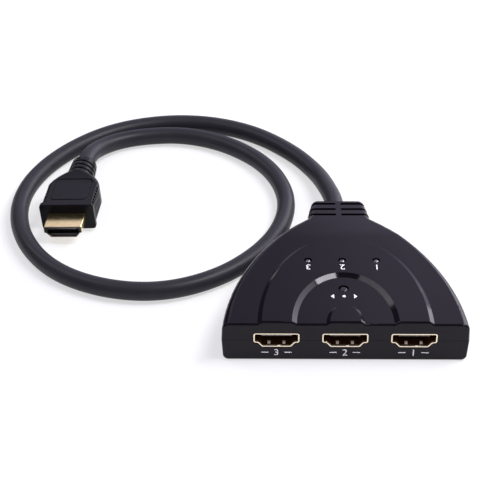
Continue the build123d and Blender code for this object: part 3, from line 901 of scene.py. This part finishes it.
class SWITCHBOX_OT_board(bpy.types.Operator):
    """Finish the circuit board and what is soldered to it"""

    bl_idname = "switchbox.board"
    bl_label = "Circuit board"

    board_finishes = {
        "circuit_board": "board_mask",
        "main_chip": "chip_moulding",
        "control_chip": "chip_moulding",
        "chip_legs": "tin_plate",
        "capacitors": "ceramic",
        "resistors": "resistor_glaze",
        "inner_wires": "wire_sleeve",
        "cable_gland": "gland_rubber",
    }

    def execute(self, context):
        for node, finish_name in self.board_finishes.items():
            dress(node, finish_name)
        return {"FINISHED"}


class SWITCHBOX_OT_plug(bpy.types.Operator):
    """Finish the plug: housing, boot, shell, insulator and contacts"""

    bl_idname = "switchbox.plug"
    bl_label = "Plug"

    tooth_count = 10
    tooth_pitch = 1.0 * MM
    tooth_width = 0.42 * MM
    tooth_height = 0.5 * MM
    tooth_length = 0.6 * MM
    tooth_drop = 1.15 * MM
    tooth_setback = 0.05 * MM

    def comb(self):
        """The row of fine teeth at the front of the plug's insulator."""
        length, height = self.tooth_length, self.tooth_height
        profile = [(0, 0), (length, 0), (length, height), (0, height)]
        tooth = strip_mesh("tooth", profile, self.tooth_width)
        half_row = (self.tooth_count - 1) / 2 * self.tooth_pitch
        start = (-half_row, self.tooth_setback, -self.tooth_drop)
        row = row_tree("comb_row", "tooth_plastic")
        teeth = repeat(tooth, row, self.tooth_count, start, (self.tooth_pitch, 0, 0))
        tip = plug_front()[0]
        teeth.transform(Matrix.Translation(tip) @ Matrix.Rotation(-plug_yaw, 4, "Z"))
        return add_piece("plug_comb", teeth, "tooth_plastic")

    def execute(self, context):
        sizes = context.scene.switch_box.sizes
        pieces = [
            soften("plug_housing", "plug_grip", "plug_plastic", sizes.plug_edge),
            soften("plug_boot", "plug_relief", "plug_plastic", sizes.plug_edge),
            soften("plug_shell", "plug_sleeve", "sleeve_gold", sizes.small_edge),
            soften("plug_core", "plug_insert", "plug_insulator", sizes.small_edge),
            self.comb(),
        ]
        dress("plug_contacts", "contact_gold")
        return {"FINISHED"}


class SWITCHBOX_OT_marks(bpy.types.Operator):
    """Print the plain numbers at the ports and lamps and the sign at the button"""

    bl_idname = "switchbox.marks"
    bl_label = "Printed marks"

    lamp_mark_setback = 29.5 * MM
    sign_setback = 14.8 * MM
    port_mark_z = 3.3 * MM
    dash_length = 2.4 * MM
    dash_gap = 1.3 * MM
    dash_height = 0.34 * MM
    sign_height = 2.2 * MM
    sign_spread = 6.6 * MM
    sign_dot = 0.55 * MM
    dot_sides = 20

    def number(self, text, height, relief):
        """A printed number, its middle at the origin, facing +Z."""
        font = bpy.data.curves.new("number", "FONT")
        font.body = text
        font.size = height
        font.extrude = relief
        font.align_x = "CENTER"
        mesh = evaluated_mesh(link("number", font))
        low = min(v.co.y for v in mesh.vertices)
        high = max(v.co.y for v in mesh.vertices)
        factor = height / (high - low)
        centred = Matrix.Translation((0, -(low + high) / 2, 0))
        mesh.transform(Matrix.Diagonal((factor, factor, 1.0, 1.0)) @ centred)
        return mesh

    def dash(self, middle, relief):
        """A short dash beside a number."""
        half, rise = self.dash_length / 2, self.dash_height / 2
        return plate_mesh([(middle - half, -rise), (middle + half, -rise),
                           (middle + half, rise), (middle - half, rise)], relief)

    def arrow(self, side, relief):
        """An arrowhead that points away from the button, to the left or right."""
        base, tip = side * self.sign_spread / 2, side * (self.sign_spread + self.sign_height) / 2
        points = [(base, -self.sign_height / 2), (tip, 0), (base, self.sign_height / 2)]
        return plate_mesh(points[::side], relief)

    def dot(self, relief):
        """The dot between the arrows."""
        turns = [2 * pi * k / self.dot_sides for k in range(self.dot_sides)]
        return plate_mesh([(self.sign_dot * cos(t), self.sign_dot * sin(t)) for t in turns], relief)

    def put(self, name, meshes, matrix):
        """One printed piece out of several meshes, put in its place."""
        mesh = join(meshes, name)
        mesh.transform(matrix)
        add_piece(name, mesh, "mark_ink")

    def execute(self, context):
        sizes = context.scene.switch_box.sizes
        relief = sizes.mark_relief
        upside_down = Matrix.Rotation(pi, 4, "Z")
        facing_front = Matrix.Rotation(pi / 2, 4, "X")
        mark_y = front_y + self.lamp_mark_setback
        for k, box in enumerate(lamp_boxes, 1):
            spot = Matrix.Translation((middle_x(box), mark_y, raised_top))
            number = self.number(str(k), sizes.lamp_mark_height, relief)
            self.put(f"lamp_number_{k}", [number], spot @ upside_down)
        for k, box in enumerate(port_boxes, 1):
            spot = Matrix.Translation((middle_x(box), front_y, self.port_mark_z))
            reach = sizes.port_mark_height / 2 + self.dash_gap + self.dash_length / 2
            marks = [self.number(str(k), sizes.port_mark_height, relief)]
            marks += [self.dash(side * reach, relief) for side in (-1, 1)]
            self.put(f"port_number_{k}", marks, spot @ facing_front)
        spot = Matrix.Translation((0, front_y + self.sign_setback, low_top))
        sign = [self.arrow(-1, relief), self.dot(relief), self.arrow(1, relief)]
        self.put("button_sign", sign, spot)
        return {"FINISHED"}


class SWITCHBOX_PT_panel(bpy.types.Panel):
    """Panel that lists the operators and settings"""

    bl_idname = "SWITCHBOX_PT_panel"
    bl_label = "Switch box"
    bl_space_type = "VIEW_3D"
    bl_region_type = "UI"
    bl_category = "Switch Box"

    def draw(self, context):
        settings = context.scene.switch_box
        for group in (settings.sizes, settings.colours):
            for name in group.__annotations__:
                self.layout.prop(group, name)
        for step in steps:
            self.layout.operator(step.bl_idname)


steps = (
    SWITCHBOX_OT_camera,
    SWITCHBOX_OT_cable,
    SWITCHBOX_OT_stage,
    SWITCHBOX_OT_covers,
    SWITCHBOX_OT_ports,
    SWITCHBOX_OT_lamps,
    SWITCHBOX_OT_button,
    SWITCHBOX_OT_board,
    SWITCHBOX_OT_plug,
    SWITCHBOX_OT_marks,
)
classes = (SwitchBoxSizes, SwitchBoxColours, SwitchBoxSettings, *steps, SWITCHBOX_PT_panel)


def register():
    for kind in classes:
        bpy.utils.register_class(kind)
    bpy.types.Scene.switch_box = PointerProperty(type=SwitchBoxSettings)


def unregister():
    del bpy.types.Scene.switch_box
    for kind in reversed(classes):
        bpy.utils.unregister_class(kind)


def main():
    register()
    bpy.ops.switchbox.camera()
    bpy.ops.switchbox.cable()
    bpy.ops.switchbox.stage()
    bpy.ops.switchbox.covers()
    bpy.ops.switchbox.ports()
    bpy.ops.switchbox.lamps()
    bpy.ops.switchbox.button()
    bpy.ops.switchbox.board()
    bpy.ops.switchbox.plug()
    bpy.ops.switchbox.marks()


if __name__ == "__main__":
    main()
